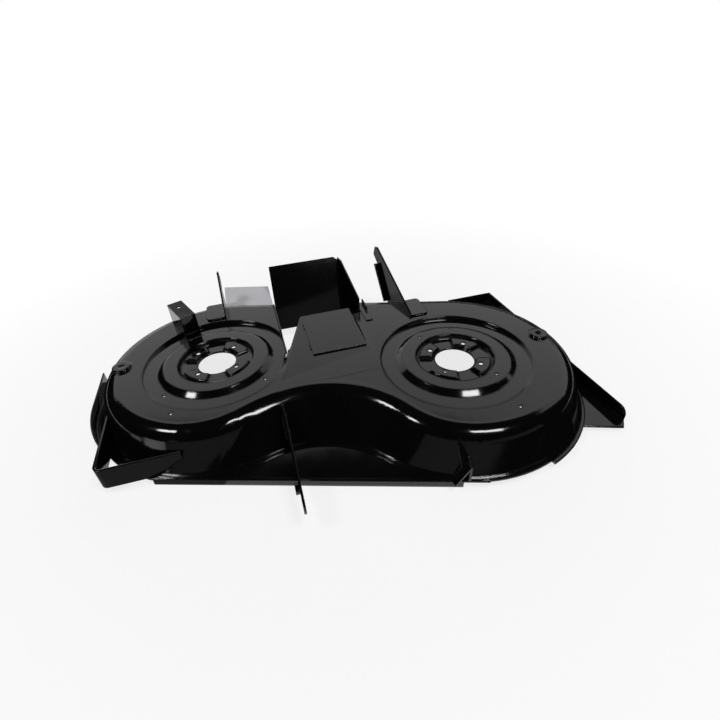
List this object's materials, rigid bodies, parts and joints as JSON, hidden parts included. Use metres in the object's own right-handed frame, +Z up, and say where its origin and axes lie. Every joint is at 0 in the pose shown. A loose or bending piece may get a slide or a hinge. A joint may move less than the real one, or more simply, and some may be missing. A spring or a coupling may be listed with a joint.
{
  "type": "lawn mower deck",
  "caption": "Pressed and welded steel cutting deck shell of a ride-on mower, with staggered spindle seats, rear discharge channel, hanger brackets and side wings.",
  "frame": {"origin": "middle of the footprint, at the lower edge of the front lip", "axes": "+X across the machine to the right as seen from the front, +Y to the rear where the cut grass leaves, +Z up"},
  "size_m": [0.965, 0.742, 0.168],
  "materials": {
    "shell_black": "gloss black paint on pressed steel",
    "plate_black": "gloss black paint on folded sheet",
    "apron_grey": "pale grey satin paint on folded sheet",
    "bracket_black": "gloss black paint on cut plate"
  },
  "bodies": {
    "root": {"deck_shell": "shell_black", "right_side_plate": "shell_black", "left_side_plate": "shell_black", "roof_plate": "plate_black", "chute_ramp": "plate_black", "chute_left_wall": "plate_black", "chute_right_wall": "plate_black", "channel_foot": "plate_black", "rear_apron": "apron_grey", "right_rear_hanger": "bracket_black", "left_rear_hanger": "bracket_black", "box_bracket": "bracket_black", "corner_strap": "bracket_black", "front_hanger": "bracket_black", "front_right_bracket": "bracket_black"}
  },
  "joints": []
}
